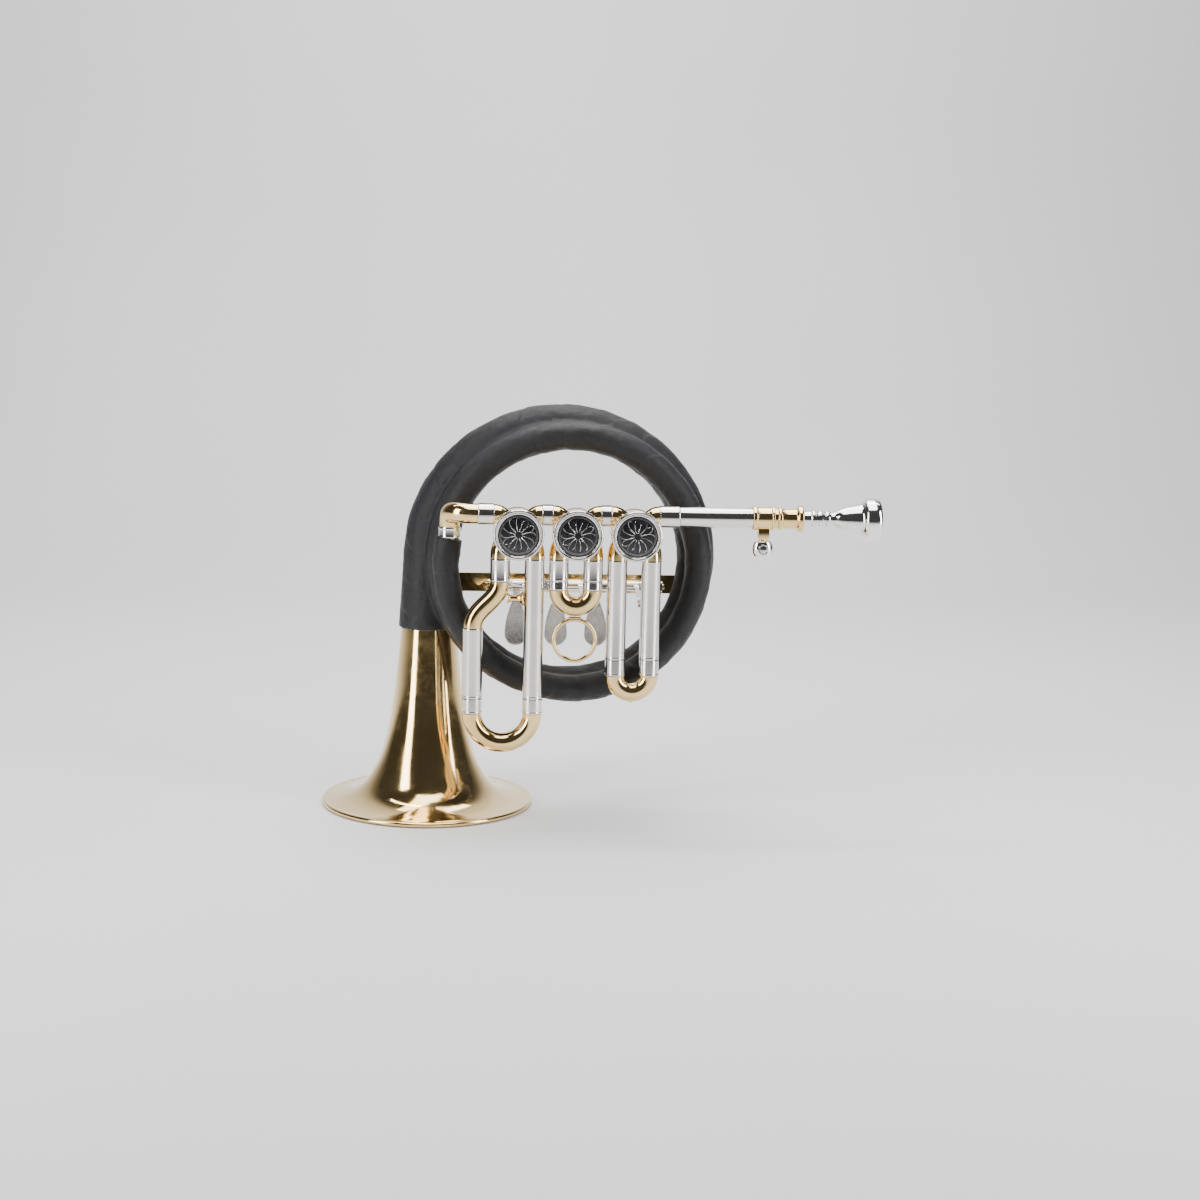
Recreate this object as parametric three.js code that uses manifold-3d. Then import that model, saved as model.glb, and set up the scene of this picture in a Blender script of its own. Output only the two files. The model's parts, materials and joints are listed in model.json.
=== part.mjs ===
// A valved hunting horn: a leather-bound coil of two turns that opens into a bell, with three rotary valves,
// their slides and finger levers, a telescoping mouthpiece receiver and a mouthpiece.
// Millimetres, +Z up. The bell opens downwards on Z = 0, the mouthpiece points along +X, and the valve caps face -Y.
// The origin is the centre of the bell's rim, in the plane that the rim lies in.
import * as THREE from "three";
import { mergeVertices } from "three/addons/utils/BufferGeometryUtils.js";
import Module from "manifold-3d";

const wasm = await Module();
wasm.setup();

// ---- Driving dimensions ----
const BELL_R = 67;
const MOUTHPIECE_END_X = 274.2;
const GAP = 0.3; // kept between pieces that touch
const SIDES = 10;
const ROUND = 18; // sides of turned pieces
const COIL_STEPS = 15; // per turn

const TUBE_R = 6.2; // main line outside
const TUBE_BORE = 5.6;
const SLEEVE_R = 6.1; // fixed slide tube outside
const SLEEVE_BORE = 5.7;
const LEG_R = 5.4; // moving slide tube outside
const LEG_BORE = 4.9;
const FERRULE_R = 6.7;

const VALVE_X = [53.8, 89.3, 124.8];
const VALVE_Z = 180;
const MAIN_Y = -51; // the plane of the valves, the main line and the slides
const MAIN_RISE = 10.5; // main line above the valve centres
const MAIN_Z = VALVE_Z + MAIN_RISE;
const LEG_OFFSET = 10.4; // slide legs each side of a valve's centre

const CASING_R = 14;
const CASING_BORE = 12.6;
const CASING_LENGTH = 24;
const CASING_FRONT = MAIN_Y - CASING_LENGTH / 2;
const CASING_BACK = MAIN_Y + CASING_LENGTH / 2;
const CAP_R = 15.3;
const CAP_DEPTH = 4.4;
const ROTOR_R = 12.2;
const PORT_R = 4.8;
const PLATE_DEPTH = 3;
const SPINDLE_R = 3;
const STOP_RADIUS = 8.5; // stop arm pivot from the spindle
const STOP_BACK = CASING_BACK + GAP + PLATE_DEPTH + 3.8;

const LEVER_TURN = 24; // degrees of key travel
const ROTOR_TURN = 90;
const LEVER_ARM = STOP_RADIUS * Math.SQRT2 / (2 * Math.sin(THREE.MathUtils.degToRad(LEVER_TURN / 2)));
const LINK_Y = STOP_BACK + 5.2;
const HINGE_Y = LINK_Y + LEVER_ARM * Math.cos(THREE.MathUtils.degToRad(LEVER_TURN / 2));
const HINGE_Z = 140;
const LINK_LOW_Z = HINGE_Z - LEVER_ARM * Math.sin(THREE.MathUtils.degToRad(LEVER_TURN / 2));
const LINK_HIGH_Z = VALVE_Z - STOP_RADIUS * Math.SQRT1_2;
const LINK_OFFSET_X = STOP_RADIUS * Math.SQRT1_2;
const ROD_R = 1.7;
const PADDLE_X = [55, 80.4, 105.8];
const HUBS = [[50, 63], [76.5, 99], [102.5, 134.5]]; // lever tubes along the hinge rod
const SPRINGS = [[40, 49.5], [66.5, 76], [135, 144]];
const EARS = [[36.5, 39.5], [63.5, 66], [99.5, 102], [144.5, 147.5]];

// ---- Materials ----
const finish = (color, metalness, roughness) => new THREE.MeshStandardMaterial({ color, metalness, roughness });
const brass = finish(0xd9b36a, 1, 0.12);
const silver = finish(0xd8d4d6, 1, 0.12);
const steel = finish(0x9a9a9c, 1, 0.3);
const leather = finish(0x17171c, 0, 0.6);
const onyx = finish(0x111113, 0.4, 0.15);

// ---- Solids ----
function solid(geometry) {
  const bare = geometry.index ? geometry.toNonIndexed() : geometry.clone();
  bare.deleteAttribute("normal");
  bare.deleteAttribute("uv");
  const merged = mergeVertices(bare, 1e-3);
  const corners = merged.index.array;
  const triangles = [];
  for (let i = 0; i < corners.length; i += 3) {
    const [a, b, c] = corners.slice(i, i + 3);
    if (a !== b && b !== c && c !== a) triangles.push(a, b, c);
  }
  const closed = (list) => new wasm.Manifold(new wasm.Mesh({
    numProp: 3,
    vertProperties: merged.attributes.position.array,
    triVerts: new Uint32Array(list),
  }));
  const made = closed(triangles);
  return made.volume() < 0 ? closed(triangles.reverse()) : made;
}

function geometryOf(made) {
  const mesh = made.getMesh();
  const geometry = new THREE.BufferGeometry();
  geometry.setAttribute("position", new THREE.BufferAttribute(new Float32Array(mesh.vertProperties), 3));
  geometry.setIndex(new THREE.BufferAttribute(new Uint32Array(mesh.triVerts), 1));
  geometry.computeVertexNormals();
  return geometry;
}

const join = (...parts) => geometryOf(parts.map(solid).reduce((a, b) => a.add(b)));
const cut = (body, ...tools) => geometryOf(tools.map(solid).reduce((a, b) => a.subtract(b), solid(body)));

// A turned piece. The outline runs round the section as [radius, distance along the axis], outside first and upwards.
function turned(outline, axis = "z", sides = ROUND) {
  const points = outline.map(([r, t]) => new THREE.Vector2(r, t));
  const onAxis = outline[0][0] === 0 && outline[outline.length - 1][0] === 0;
  if (!onAxis) points.push(points[0].clone());
  const geometry = new THREE.LatheGeometry(points, sides);
  if (axis === "z") geometry.rotateX(Math.PI / 2);
  if (axis === "x") geometry.rotateZ(-Math.PI / 2);
  return geometry;
}

const ring = (rOut, rIn, from, to, axis, sides) =>
  turned([[rIn, from], [rOut, from], [rOut, to], [rIn, to]], axis, sides);
const disc = (r, from, to, axis, sides) => turned([[0, from], [r, from], [r, to], [0, to]], axis, sides);
const box = (x0, x1, y0, y1, z0, z1) =>
  new THREE.BoxGeometry(x1 - x0, y1 - y0, z1 - z0).translate((x0 + x1) / 2, (y0 + y1) / 2, (z0 + z1) / 2);

function circleShape(rOut, rIn, sides = SIDES) {
  const corners = (r) => Array.from({ length: sides }, (_, i) => {
    const a = (2 * Math.PI * i) / sides;
    return new THREE.Vector2(r * Math.cos(a), r * Math.sin(a));
  });
  const shape = new THREE.Shape(corners(rOut));
  if (rIn > 0) shape.holes.push(new THREE.Path(corners(rIn)));
  return shape;
}

const pipe = (curve, rOut, rIn, steps, sides) =>
  new THREE.ExtrudeGeometry(circleShape(rOut, rIn, sides), { extrudePath: curve, steps, bevelEnabled: false });
const line = (a, b) => new THREE.LineCurve3(new THREE.Vector3(...a), new THREE.Vector3(...b));
const bezier = (...p) => new THREE.CubicBezierCurve3(...p.map((q) => new THREE.Vector3(...q)));

// A flat plate in the XZ plane, between two depths.
function plate(shape, yFront, yBack) {
  const geometry = new THREE.ExtrudeGeometry(shape, { depth: yBack - yFront, bevelEnabled: false, curveSegments: 6 });
  return geometry.rotateX(Math.PI / 2).translate(0, yBack, 0);
}

// ---- The coil ----
// s runs from 0 at the entry to 1 at the throat, over two turns; beyond 1 the tube runs straight down to the bell.
const COIL_RIGHT_X = 166.5;
const COIL_LOW_Z = 81;
const COIL_ENTRY_S = -0.018;
const THROAT_LOW_R = 17.2;
const BELL_TOP_Z = 119;
const LEATHER_END_Z = 113;

function coilPoint(s) {
  const rx = 78 + 5.25 * s * s;
  const rz = 76.3 + 4.4 * s;
  const turn = Math.PI * (1 + 4 * s);
  const y = s < 0 ? -37 : -37 + 24 * s + 13 * s * s;
  return new THREE.Vector3(COIL_RIGHT_X - rx + rx * Math.cos(turn), y, COIL_LOW_Z + rz + rz * Math.sin(turn));
}
const coilRadius = (s) => 6.2 + 1.2 * s + 6.9 * Math.pow(Math.max(s, 0), 3.4);

// Stations of the coil and its straight throat down to z = end, each a point, a radius and a direction.
function coilStations(end, first = 0) {
  const stations = [];
  const count = Math.round(2 * COIL_STEPS * (0.985 - COIL_ENTRY_S));
  for (let i = first; i <= count; i++) {
    const s = COIL_ENTRY_S + ((0.985 - COIL_ENTRY_S) * i) / count;
    const down = new THREE.Vector3(0, 0, -1);
    const along = i > 0 ? coilPoint(s + 1e-3).sub(coilPoint(s - 1e-3)).normalize() : down;
    stations.push([coilPoint(s), coilRadius(s), along]);
  }
  const throatTopZ = COIL_LOW_Z + 80.7;
  for (let i = 0; i <= 2; i++) {
    const z = THREE.MathUtils.lerp(throatTopZ, end, i / 2);
    const share = (throatTopZ - z) / (throatTopZ - LEATHER_END_Z);
    const radius = THREE.MathUtils.lerp(coilRadius(1), THROAT_LOW_R, share);
    stations.push([new THREE.Vector3(0, 0, z), radius, new THREE.Vector3(0, 0, -1)]);
  }
  return stations;
}

// A tube of changing radius through the stations, with an offset from each station's radius, solid or hollow.
function sweep(stations, outside, inside = null, sides = SIDES) {
  const up = new THREE.Vector3(0, 1, 0);
  const position = [];
  const index = [];
  const loops = [];
  const ringAt = (k, offset) => {
    const [here, radius, along] = stations[k];
    const across = new THREE.Vector3().crossVectors(along, up).normalize();
    const back = new THREE.Vector3().crossVectors(across, along).normalize();
    const start = position.length / 3;
    for (let i = 0; i < sides; i++) {
      const a = (2 * Math.PI * i) / sides;
      const r = radius + offset;
      const p = here.clone().addScaledVector(across, r * Math.cos(a)).addScaledVector(back, r * Math.sin(a));
      position.push(p.x, p.y, p.z);
    }
    loops.push(start);
  };
  for (let k = 0; k < stations.length; k++) ringAt(k, outside);
  if (inside !== null) for (let k = stations.length - 1; k >= 0; k--) ringAt(k, inside);
  const band = (a, b) => {
    for (let i = 0; i < sides; i++) {
      const j = (i + 1) % sides;
      index.push(a + i, b + i, b + j, a + i, b + j, a + j);
    }
  };
  for (let k = 0; k + 1 < loops.length; k++) band(loops[k], loops[k + 1]);
  if (inside !== null) band(loops[loops.length - 1], loops[0]);
  else {
    for (let i = 1; i + 1 < sides; i++) {
      const last = loops[loops.length - 1];
      index.push(loops[0], loops[0] + i, loops[0] + i + 1);
      index.push(last, last + i + 1, last + i);
    }
  }
  const geometry = new THREE.BufferGeometry();
  geometry.setAttribute("position", new THREE.Float32BufferAttribute(position, 3));
  geometry.setIndex(index);
  return geometry;
}

// ---- Assembly ----
const horn = new THREE.Group();

function add(name, geometry, material) {
  const mesh = new THREE.Mesh(geometry, material);
  mesh.name = name;
  horn.add(mesh);
  return mesh;
}

const ENTRY = coilPoint(COIL_ENTRY_S);
const COIL_FERRULE = [ENTRY.z + GAP, ENTRY.z + GAP + 6.4];
const LINE_LEFT_X = VALVE_X[0] - 24;
const ELBOW = bezier([LINE_LEFT_X - GAP, MAIN_Y, MAIN_Z], [ENTRY.x - 1, MAIN_Y, MAIN_Z],
  [ENTRY.x, ENTRY.y, MAIN_Z + 4], [ENTRY.x, ENTRY.y, COIL_FERRULE[1] + GAP]);

function makeBody() {
  // The bell is a spun shell with a rolled bead round its rim and a flat foot on Z = 0.
  const outside = [[BELL_R, 0], [BELL_R, 2.2], [62, 2.9], [54, 4.4], [46, 7.6], [40, 12.5], [35, 20], [30.3, 30],
    [26, 45], [22.4, 65], [19.4, 91], [17.6, BELL_TOP_Z - 7], [17.1, BELL_TOP_Z]];
  const inside = outside.slice(2).reverse().map(([r, z]) => [r - 0.9, z - (z < 10 ? 1 : 0)]);
  inside[0][1] = BELL_TOP_Z;
  add("bell", turned([[BELL_R - 3, 0], ...outside, ...inside], "z", 20), brass);

  const tube = coilStations(BELL_TOP_Z + GAP);
  add("coil_tube", sweep(tube, 0, -0.7, 8), brass);

  // The two turns share one leather wrap, so it is swept in thirds of the run and joined.
  const thirds = (stations, offset, sides) => [0, 1, 2].map((k) => {
    const share = Math.ceil(stations.length / 3);
    return sweep(stations.slice(k * share, (k + 1) * share + 1), offset, null, sides);
  });
  const wrapped = coilStations(LEATHER_END_Z);
  const longer = coilStations(LEATHER_END_Z - 5, -1);
  const ferrule = disc(7.4, COIL_FERRULE[0] - GAP, COIL_FERRULE[1] + 2, "z").translate(ENTRY.x, ENTRY.y, 0);
  const flare = disc(18, LEATHER_END_Z - 4, BELL_TOP_Z + 1, "z", 20);
  add("leather_wrap", cut(join(...thirds(wrapped, 2.2, 12)), ...thirds(longer, GAP, 8), ferrule, flare,
    pipe(ELBOW, TUBE_R + 0.5, 0, 7)), leather);
}

function makeMainLine() {
  add("coil_ferrule", ring(7, TUBE_BORE, ...COIL_FERRULE, "z").translate(ENTRY.x, ENTRY.y, 0), silver);
  add("elbow_tube", pipe(ELBOW, TUBE_R, TUBE_BORE, 7), brass);
  const stub = 14.5;
  const ferrules = {
    main_ferrule_left: [LINE_LEFT_X, VALVE_X[0] - stub - GAP],
    main_ferrule_1_2: [VALVE_X[0] + stub + GAP, VALVE_X[1] - stub - GAP],
    main_ferrule_2_3: [VALVE_X[1] + stub + GAP, VALVE_X[2] - stub - GAP],
    leadpipe_ferrule: [VALVE_X[2] + stub + GAP, VALVE_X[2] + stub + 12],
  };
  for (const [name, span] of Object.entries(ferrules)) {
    add(name, ring(FERRULE_R, TUBE_BORE, ...span, "x").translate(0, MAIN_Y, MAIN_Z), silver);
  }
}

// A valve casing with its four knuckles brazed on. Two rise to the main line and two drop to the slide.
function makeCasing(n) {
  const x = VALVE_X[n];
  const knuckles = [];
  const ways = [];
  for (const side of [-1, 1]) {
    const at = (dx, dz) => [x + side * dx, MAIN_Y, VALVE_Z + dz];
    const rise = bezier(at(7, 6.5), at(10, 9.5), at(11.5, MAIN_RISE), at(14.5, MAIN_RISE));
    const fall = bezier(at(7.5, -6), at(9.4, -9), at(LEG_OFFSET, -11), at(LEG_OFFSET, -16));
    for (const curve of [rise, fall]) {
      knuckles.push(pipe(curve, TUBE_R, 0, 3, 8));
      ways.push(pipe(curve, PORT_R, 0, 3, 6));
    }
  }
  const shell = disc(CASING_R, CASING_FRONT, CASING_BACK, "y").translate(x, 0, VALVE_Z);
  const bore = disc(CASING_BORE, CASING_FRONT - 1, CASING_BACK + 1, "y").translate(x, 0, VALVE_Z);
  const whole = join(shell, ...knuckles);
  add(`valve_casing_${n + 1}`, cut(whole, bore, ...ways), brass);
}

function makeValve(n) {
  const x = VALVE_X[n];
  const place = (geometry) => geometry.translate(x, 0, VALVE_Z);
  const capBack = CASING_FRONT - GAP;
  const capFront = capBack - CAP_DEPTH;
  const cap = turned([[0, capFront + 1], [12.8, capFront + 1], [13.6, capFront], [14.9, capFront],
    [CAP_R, capFront + 0.7], [CAP_R, capBack], [0, capBack]], "y");
  add(`valve_cap_${n + 1}`, place(cap), onyx);

  const plateFront = CASING_BACK + GAP;
  add(`bearing_plate_${n + 1}`, place(ring(13.4, SPINDLE_R + GAP, plateFront, plateFront + PLATE_DEPTH, "y")), brass);

  // Two bent passages cross the rotor, each joining two neighbouring ports.
  const core = turned([[0, CASING_FRONT + 0.6], [ROTOR_R, CASING_FRONT + 0.6], [ROTOR_R, CASING_BACK - 0.6],
    [SPINDLE_R, CASING_BACK - 0.6], [SPINDLE_R, STOP_BACK + 0.8], [0, STOP_BACK + 0.8]], "y");
  const passages = [-1, 1].map((side) => pipe(bezier([side * 12, MAIN_Y, 13], [side * 5, MAIN_Y, 4],
    [side * 5, MAIN_Y, -4], [side * 12, MAIN_Y, -13]), PORT_R - 0.4, 0, 4, 6));
  add(`rotor_${n + 1}`, place(cut(core, ...passages)), steel);

  // The stop arm turns with the rotor and carries the ball stud that its link drives.
  const armFront = plateFront + PLATE_DEPTH + 0.5;
  const hub = ring(5.2, SPINDLE_R + GAP, armFront, STOP_BACK, "y", SIDES);
  const pinX = LINK_OFFSET_X;
  const arm = box(SPINDLE_R + 1, STOP_RADIUS, armFront, STOP_BACK, -1.9, 1.9).rotateY(Math.PI / 4);
  const stud = disc(2.1, armFront, STOP_BACK + 3.3, "y", SIDES).translate(pinX, 0, -pinX);
  add(`stop_arm_${n + 1}`, place(join(hub, arm, stud)), silver);
}

// The lever has a hub on the hinge rod, an arm forward to its link and a spoon-shaped key hanging below.
function makeLever(n) {
  const hubR = 3.4;
  const linkX = VALVE_X[n] + LINK_OFFSET_X;
  const [hubStart, hubEnd] = HUBS[n];
  const hub = disc(hubR, hubStart, hubEnd, "x", SIDES).translate(0, HINGE_Y, HINGE_Z);
  const hole = disc(ROD_R + 0.15, hubStart - 1, hubEnd + 1, "x", SIDES).translate(0, HINGE_Y, HINGE_Z);
  const reach = box(-1.4, 1.4, -LEVER_ARM, 0, -1.9, 1.9)
    .rotateX(THREE.MathUtils.degToRad(LEVER_TURN / 2)).translate(linkX, HINGE_Y, HINGE_Z);
  const eye = disc(2.9, linkX - 1.4, linkX + 1.4, "x", SIDES).translate(0, LINK_Y, LINK_LOW_Z);
  const spoon = new THREE.Shape();
  const wide = 7.2;
  const low = HINGE_Z - 39;
  const bowl = low + wide;
  spoon.moveTo(-2, HINGE_Z);
  spoon.lineTo(-2.2, HINGE_Z - 10);
  spoon.quadraticCurveTo(-wide, bowl + 10, -wide, bowl);
  spoon.absarc(0, bowl, wide, Math.PI, 0, false);
  spoon.quadraticCurveTo(wide, bowl + 10, 2.2, HINGE_Z - 10);
  spoon.lineTo(2, HINGE_Z);
  spoon.closePath();
  const key = plate(spoon, HINGE_Y + 1.2, HINGE_Y + 2.8).translate(PADDLE_X[n], 0, 0);
  add(`lever_${n + 1}`, cut(join(hub, reach, eye, key), hole), silver);

  const rod = disc(1.3, LINK_LOW_Z + 2, LINK_HIGH_Z - 2, "z", 8).translate(linkX + 3, LINK_Y, 0);
  const top = disc(3.2, LINK_Y - 1.6, LINK_Y + 1.6, "y", SIDES).translate(linkX, 0, LINK_HIGH_Z);
  const neck = box(linkX - 1, linkX + 4.2, LINK_Y - 1.3, LINK_Y + 1.3, LINK_HIGH_Z - 3.6, LINK_HIGH_Z - 1.2);
  const foot = disc(3.1, linkX + 1.8, linkX + 4.4, "x", SIDES).translate(0, LINK_Y, LINK_LOW_Z);
  add(`link_${n + 1}`, join(rod, top, neck, foot), silver);

  const [from, to] = SPRINGS[n];
  add(`return_spring_${n + 1}`, springCoil(from, to), steel);
}

// A torsion spring round the hinge rod.
function springCoil(from, to) {
  const turns = 4;
  class Helix extends THREE.Curve {
    getPoint(t, target = new THREE.Vector3()) {
      const a = 2 * Math.PI * turns * t;
      const x = THREE.MathUtils.lerp(from + 1, to - 1, t);
      return target.set(x, HINGE_Y + 3.2 * Math.cos(a), HINGE_Z + 3.2 * Math.sin(a));
    }
  }
  return pipe(new Helix(), 0.6, 0, 7 * turns, 4);
}

function makeLeverFrame() {
  add("hinge_rod", disc(ROD_R, EARS[0][0] - 1.5, EARS[3][1] + 1.5, "x", SIDES).translate(0, HINGE_Y, HINGE_Z), steel);
  // The deck reaches from the throat's leather to a foot on the coil's far side.
  const deck = box(16.2, 171, HINGE_Y + 7, HINGE_Y + 9, HINGE_Z - 5.5, HINGE_Z + 6.5);
  const foot = box(161, 171, 1.2, HINGE_Y + 7.5, HINGE_Z - 5, HINGE_Z + 6);
  const ears = EARS.map(([a, b]) => box(a, b, HINGE_Y - 3.4, HINGE_Y + 7.5, HINGE_Z - 3.6, HINGE_Z + 3.6));
  const hole = disc(ROD_R + GAP, 0, 200, "x", SIDES).translate(0, HINGE_Y, HINGE_Z);
  add("lever_bridge", cut(join(deck, foot, ...ears), hole), brass);
}

// One slide: fixed sleeves under the valve, moving legs in them and a crook across the bottom.
const SLIDES = [
  { top: 121, sleeveEnd: 78, crookTop: 68.4, legTop: 113, left: 27.4, right: VALVE_X[0] + LEG_OFFSET },
  { top: 170, sleeveEnd: 150.8, crookTop: 145.2, legTop: 162.4, left: VALVE_X[1] - LEG_OFFSET, right: VALVE_X[1] + LEG_OFFSET },
  { top: 170, sleeveEnd: 103, crookTop: 92.6, legTop: 141, left: VALVE_X[2] - LEG_OFFSET, right: VALVE_X[2] + LEG_OFFSET },
];
const KNUCKLE_END_Z = VALVE_Z - 16;

function makeSlide(n) {
  const { top, sleeveEnd, crookTop, legTop, left, right } = SLIDES[n];
  const sleeveTop = KNUCKLE_END_Z - GAP;
  const leftTop = Math.min(top, sleeveTop);
  const upright = (x, from, to, rOut, rIn) => pipe(line([x, MAIN_Y, from], [x, MAIN_Y, to]), rOut, rIn, 1);
  add(`slide_${n + 1}_sleeve_left`, upright(left, sleeveEnd, leftTop, SLEEVE_R, SLEEVE_BORE), silver);
  add(`slide_${n + 1}_sleeve_right`, upright(right, sleeveEnd, sleeveTop, SLEEVE_R, SLEEVE_BORE), silver);
  for (const [side, x] of [["left", left], ["right", right]]) {
    // Each leg carries a ferrule between its sleeve and the crook.
    const leg = upright(x, crookTop + GAP, legTop, LEG_R, LEG_BORE);
    const collar = upright(x, crookTop + GAP, sleeveEnd - GAP, SLEEVE_R, LEG_BORE);
    add(`slide_${n + 1}_leg_${side}`, join(leg, collar), silver);
  }
  const half = (right - left) / 2;
  class Bow extends THREE.Curve {
    getPoint(t, target = new THREE.Vector3()) {
      const a = Math.PI * (1 + t);
      return target.set((left + right) / 2 + half * Math.cos(a), MAIN_Y, crookTop + half * Math.sin(a));
    }
  }
  add(`slide_${n + 1}_crook`, pipe(new Bow(), SLEEVE_R - 0.2, LEG_BORE, 8), brass);
}

function makeSlideTrim() {
  // The first slide's left side steps outwards through an S-shaped tube.
  const upper = VALVE_X[0] - LEG_OFFSET;
  const bendTop = 149.8;
  const lower = SLIDES[0].left;
  const bendEnd = SLIDES[0].top + GAP;
  add("slide_1_sleeve_upper", pipe(line([upper, MAIN_Y, bendTop + GAP], [upper, MAIN_Y, KNUCKLE_END_Z - GAP]),
    SLEEVE_R, SLEEVE_BORE, 1), silver);
  add("slide_1_offset_tube", pipe(bezier([upper, MAIN_Y, bendTop], [upper, MAIN_Y, bendTop - 13],
    [lower, MAIN_Y, bendEnd + 13], [lower, MAIN_Y, bendEnd]), SLEEVE_R - 0.2, LEG_BORE, 6), brass);

  // A turned brace stands between the offset tube and the right sleeve.
  const braceZ = 139.5;
  const from = upper + 4.4;
  const to = SLIDES[0].right - SLEEVE_R - GAP;
  const brace = turned([[0, from], [3.4, from], [2.6, from + 1.5], [2.3, to - 3], [4.6, to], [0, to]], "x", SIDES)
    .translate(0, MAIN_Y, braceZ);
  add("slide_1_brace", brace, brass);

  const ringR = 12.7;
  const wire = 1.3;
  const crookLow = SLIDES[1].crookTop - LEG_OFFSET - SLEEVE_R + 0.2;
  const pullRing = new THREE.TorusGeometry(ringR, wire, 6, 20).rotateX(Math.PI / 2);
  const foot = box(-4, 4, -1.2, 1.2, ringR - 0.5, ringR + wire + 0.4);
  const place = (geometry) => geometry.translate(VALVE_X[1], MAIN_Y, crookLow - GAP - 0.4 - ringR - wire);
  add("slide_2_pull_ring", place(join(pullRing, foot)), brass);
}

function makeMouthEnd() {
  const clampX = 203;
  const place = (geometry) => geometry.translate(0, MAIN_Y, MAIN_Z);
  const leadStart = VALVE_X[2] + 14.5 + 12 + GAP;
  add("leadpipe", place(ring(TUBE_R, 5.75, leadStart, 208.6, "x")), silver);
  // The split clamp grips the leadpipe over the receiver's shank.
  const band = turned([[TUBE_R + GAP, 196], [7.6, 196], [7.6, 198.4], [7, 198.9], [7, 207], [7.6, 207.5],
    [7.6, 209], [TUBE_R + GAP, 209]], "x");
  const lug = box(clampX - 3.4, clampX + 3.4, -3.2, 3.2, -12.2, -TUBE_R - 0.5);
  const screwHole = disc(2, -14, -TUBE_R, "z", SIDES).translate(clampX, 0, 0);
  const saw = box(194, 211, -0.4, 0.4, -14, -TUBE_R + 1);
  const inside = disc(TUBE_R + GAP, 190, 215, "x");
  add("receiver_clamp", place(cut(join(band, lug), inside, screwHole, saw)), brass);
  const stem = disc(1.6, -14, -7.2, "z", SIDES);
  const knob = turned([[0, -24.4], [4.4, -24], [6.1, -20.6], [6.1, -16.6], [4.4, -13.2], [0, -12.6]], "z", 12)
    .scale(1, 0.62, 1);
  add("clamp_thumbscrew", place(join(stem, knob).translate(clampX, 0, 0)), silver);

  add("receiver", place(turned([[4.75, 172], [5.4, 172], [5.4, 209.3], [TUBE_R, 209.3], [TUBE_R, 211.4], [7.1, 212],
    [7.1, 213.2], [TUBE_R, 213.8], [TUBE_R, 223.2], [8.2, 223.8], [8.2, 226.4], [7, 227], [5.1, 227]], "x")), brass);

  const m = 227.4;
  add("mouthpiece", place(turned([[3.9, 203.5], [4.3, 203.5], [4.5, m - 0.2], [4.8, m], [4.8, m + 4.6], [5.7, m + 5.4], [5.7, m + 7],
    [4.7, m + 8], [5.6, m + 10], [4.5, m + 13], [5.4, m + 15], [4.4, m + 17], [7.6, m + 24], [9.6, m + 33],
    [12.9, m + 37.6], [13.4, m + 41], [13, m + 45], [11.2, MOUTHPIECE_END_X], [9.6, MOUTHPIECE_END_X],
    [8.4, m + 43], [7.4, m + 36], [4.8, m + 30], [1.9, m + 26], [3.2, m - 6]], "x", 16)), silver);
}

makeBody();
makeMainLine();
for (const n of [0, 1, 2]) {
  makeCasing(n);
  makeValve(n);
  makeLever(n);
  makeSlide(n);
}
makeLeverFrame();
makeSlideTrim();
makeMouthEnd();

export default horn;
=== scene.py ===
"""A leather-bound valved hunting horn: bell, wound coil, rotary valves, slides, levers and mouthpiece.
Lengths in the helpers are millimetres in the frame's axes and are turned to metres as each mesh is made."""

import json
import math

import bmesh
import bpy
from mathutils import Matrix, Vector, noise


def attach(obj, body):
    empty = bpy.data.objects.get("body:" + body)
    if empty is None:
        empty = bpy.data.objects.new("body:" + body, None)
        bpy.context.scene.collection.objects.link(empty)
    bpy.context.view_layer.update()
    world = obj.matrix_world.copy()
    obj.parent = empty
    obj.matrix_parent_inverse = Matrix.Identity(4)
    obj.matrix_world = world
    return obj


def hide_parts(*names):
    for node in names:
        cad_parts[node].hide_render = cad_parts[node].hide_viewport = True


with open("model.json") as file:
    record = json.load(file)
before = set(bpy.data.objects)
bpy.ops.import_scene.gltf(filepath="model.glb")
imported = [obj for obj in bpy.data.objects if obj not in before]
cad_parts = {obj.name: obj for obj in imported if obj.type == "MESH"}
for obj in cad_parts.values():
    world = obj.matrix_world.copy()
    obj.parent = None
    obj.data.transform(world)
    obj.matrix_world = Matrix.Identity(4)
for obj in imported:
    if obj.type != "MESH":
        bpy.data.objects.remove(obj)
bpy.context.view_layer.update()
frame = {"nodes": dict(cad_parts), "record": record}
MM = 0.001

# ---- Dimensions shared with the frame ----
VALVE_X = (53.8, 89.3, 124.8)
VALVE_Z = 180.0
MAIN_Y = -51.0
MAIN_Z = 190.5
LEG = 10.4  # from a valve's axis to each of its slide's legs
TUBE_R = 6.2
SLEEVE_R = 6.1
LEG_R, LEG_BORE = 5.9, 4.9
LINE = Vector((0, MAIN_Y, MAIN_Z))
LEATHER_END = 113.0
GAP = 0.3  # left between pieces that touch
STUB = 14.5  # from a valve's axis to the end of its side knuckles
FERRULE = 12
CASING_HALF = 12
CASING_BACK = MAIN_Y + CASING_HALF
PLATE_DEPTH = 3  # of the bearing plate behind each casing


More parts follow.
